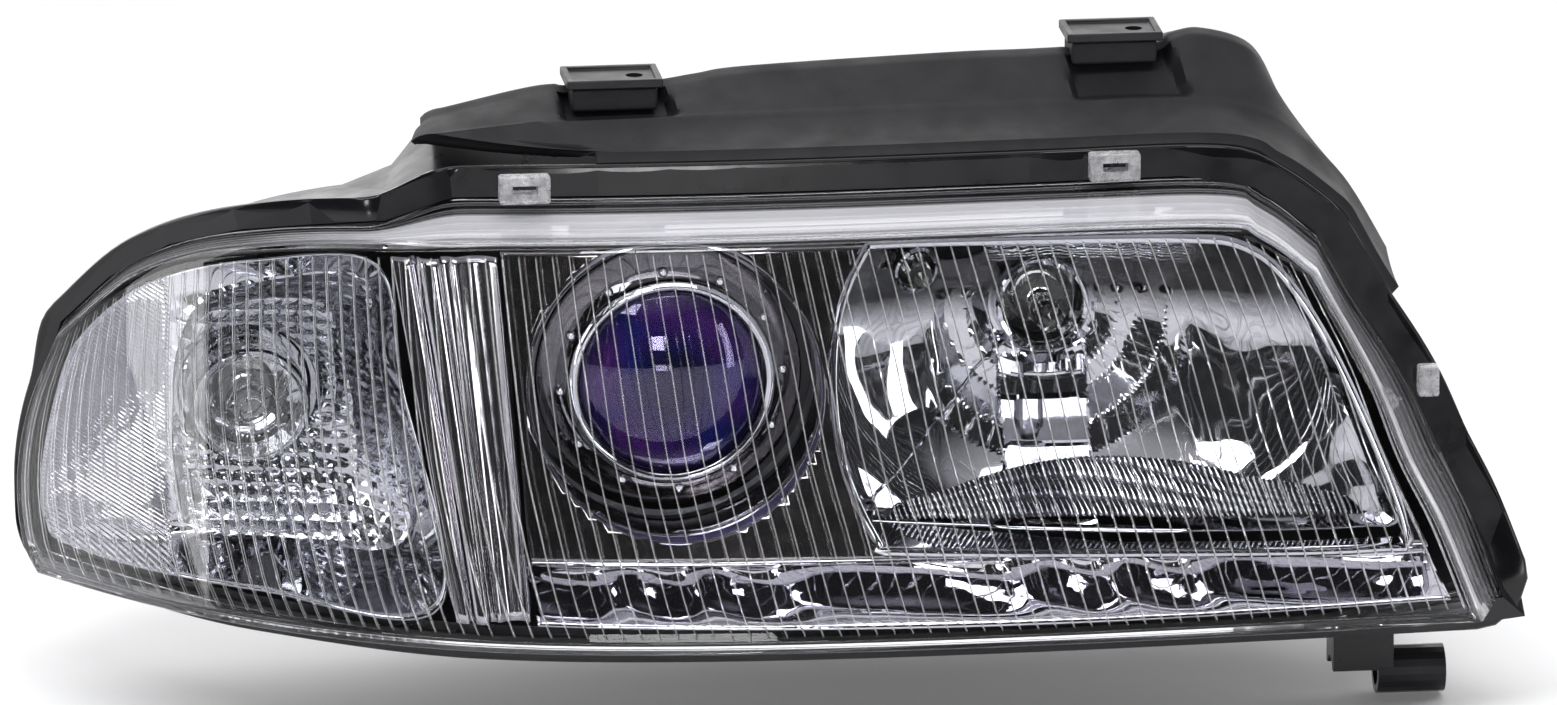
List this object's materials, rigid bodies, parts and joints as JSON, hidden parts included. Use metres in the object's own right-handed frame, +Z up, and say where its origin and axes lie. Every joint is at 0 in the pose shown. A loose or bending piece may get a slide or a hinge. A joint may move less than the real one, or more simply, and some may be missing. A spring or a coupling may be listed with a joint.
{
  "type": "car headlight assembly",
  "caption": "Right-hand car headlight with clear wraparound lens, projector low beam, free-form high beam, indicator bowl, black housing, aiming screws and hinged rear bulb cover.",
  "frame": {"origin": "middle of the upper inner mounting pad's top face, where its bolt clamps the car's bonnet landing panel", "axes": "+X across the car towards the grille, along the lamp's length; -Y forwards, the way the lamp shines; +Z up"},
  "size_m": [0.5855, 0.2775, 0.2575],
  "materials": {
    "clear_lens": "clear moulded polycarbonate with slanted flutes inside, hard-coated and glossy",
    "black_housing": "satin black moulded polypropylene",
    "black_cover": "fine-grained matt black moulding",
    "black_rubber": "matt black rubber",
    "chrome": "vacuum-metallised plastic, mirror bright",
    "smoked_chrome": "smoke-tinted metallised plastic, mirror bright",
    "projector_glass": "ground glass with a violet-blue coating",
    "clear_glass": "clear glass",
    "cast_aluminium": "as-cast aluminium",
    "zinc_steel": "zinc-plated spring and sheet steel",
    "grey_plastic": "dark grey glass-filled moulding",
    "white_plastic": "natural white acetal"
  },
  "bodies": {
    "housing": {"lens": "clear_lens", "housing": "black_housing", "levelling_motor": "black_housing", "wiring_socket": "black_housing", "top_cover": "black_cover", "lens_seal": "black_rubber", "foot_bush": "black_rubber", "cover_seal": "black_rubber", "vent_cap_inner": "black_rubber", "vent_cap_outer": "black_rubber", "clip_nut_inner": "zinc_steel", "clip_nut_outer": "zinc_steel", "pivot_stud": "zinc_steel", "pivot_nut": "zinc_steel", "cover_hinge_pin": "zinc_steel", "lens_clip_side": "zinc_steel", "bezel": "smoked_chrome", "divider": "chrome", "indicator_reflector": "chrome", "lens_clip_outer": "white_plastic", "lens_clip_inner": "white_plastic", "indicator_bulb_cap": "clear_glass"},
    "aim_link": {"ball_cup": "white_plastic"},
    "beam_unit": {"carrier_frame": "grey_plastic", "projector_tube": "cast_aluminium", "projector_bowl": "chrome", "cutoff_shutter": "zinc_steel", "trim_ring": "smoked_chrome", "lens_retainer": "chrome", "projector_lens": "projector_glass", "projector_screw_1": "zinc_steel", "projector_screw_2": "zinc_steel", "projector_screw_3": "zinc_steel", "high_beam_reflector": "chrome", "low_beam_bulb": "clear_glass", "low_beam_plug": "black_rubber", "high_beam_bulb": "clear_glass", "high_beam_plug": "black_rubber", "parking_bulb": "clear_glass", "parking_holder": "black_rubber"},
    "low_bulb_clip": {"low_bulb_clip": "zinc_steel"},
    "high_bulb_clip": {"high_bulb_clip": "zinc_steel"},
    "levelling_rod": {"levelling_rod": "white_plastic"},
    "level_adjuster": {"level_adjuster": "white_plastic"},
    "aim_adjuster": {"aim_adjuster": "white_plastic"},
    "rear_bail": {"rear_bail": "zinc_steel"},
    "low_cover": {"low_beam_cover": "black_housing"},
    "high_cap": {"high_beam_cap": "black_housing"},
    "indicator_holder": {"indicator_holder": "grey_plastic", "indicator_bulb": "clear_glass"}
  },
  "joints": [
    {"name": "beam_swivel", "type": "hinge", "parent": "housing", "child": "aim_link", "pos_m": [-0.103, -0.01, -0.115], "axis": [0, 0, 1], "range_deg": [-2, 2]},
    {"name": "beam_tilt", "type": "hinge", "parent": "aim_link", "child": "beam_unit", "pos_m": [-0.103, -0.01, -0.115], "axis": [1, 0, 0], "range_deg": [-2, 2]},
    {"name": "levelling_rod_slide", "type": "slide", "parent": "housing", "child": "levelling_rod", "axis": [0, 1, 0], "range_m": [-0.0023, 0.0023]},
    {"name": "level_adjuster_turn", "type": "hinge", "parent": "housing", "child": "level_adjuster", "pos_m": [-0.103, 0.121, -0.177], "axis": [0, 1, 0], "range_deg": [-196, 196]},
    {"name": "aim_adjuster_turn", "type": "hinge", "parent": "housing", "child": "aim_adjuster", "pos_m": [0.04, 0.075, -0.115], "axis": [0, 1, 0], "range_deg": [-450, 450]},
    {"name": "low_cover_lift", "type": "hinge", "parent": "housing", "child": "low_cover", "pos_m": [-0.185, 0.083, -0.062], "axis": [1, 0, 0], "range_deg": [0, 90]},
    {"name": "rear_bail_swing", "type": "hinge", "parent": "housing", "child": "rear_bail", "pos_m": [-0.185, 0.085, -0.058], "axis": [1, 0, 0], "range_deg": [0, 150]},
    {"name": "high_cap_twist", "type": "hinge", "parent": "housing", "child": "high_cap", "pos_m": [-0.033, 0.075, -0.101], "axis": [0, 1, 0], "range_deg": [0, 45]},
    {"name": "indicator_holder_twist", "type": "hinge", "parent": "housing", "child": "indicator_holder", "pos_m": [-0.345, 0.033, -0.1325], "axis": [0, 1, 0], "range_deg": [0, 45]},
    {"name": "low_bulb_clip_swing", "type": "hinge", "parent": "beam_unit", "child": "low_bulb_clip", "pos_m": [-0.185, 0.03, -0.135], "axis": [-1, 0, 0], "range_deg": [0, 70]},
    {"name": "high_bulb_clip_swing", "type": "hinge", "parent": "beam_unit", "child": "high_bulb_clip", "pos_m": [-0.033, -0.0232, -0.125], "axis": [-1, 0, 0], "range_deg": [0, 70]}
  ],
  "couplings": [
    {"joint": "levelling_rod_slide", "follows": "beam_tilt", "m_per_rad": 0.062},
    {"joint": "level_adjuster_turn", "follows": "beam_tilt", "ratio": 97.4},
    {"joint": "aim_adjuster_turn", "follows": "beam_swivel", "ratio": 224.6},
    {"joint": "rear_bail_swing", "follows": "low_cover_lift", "ratio": 1.6666}
  ]
}
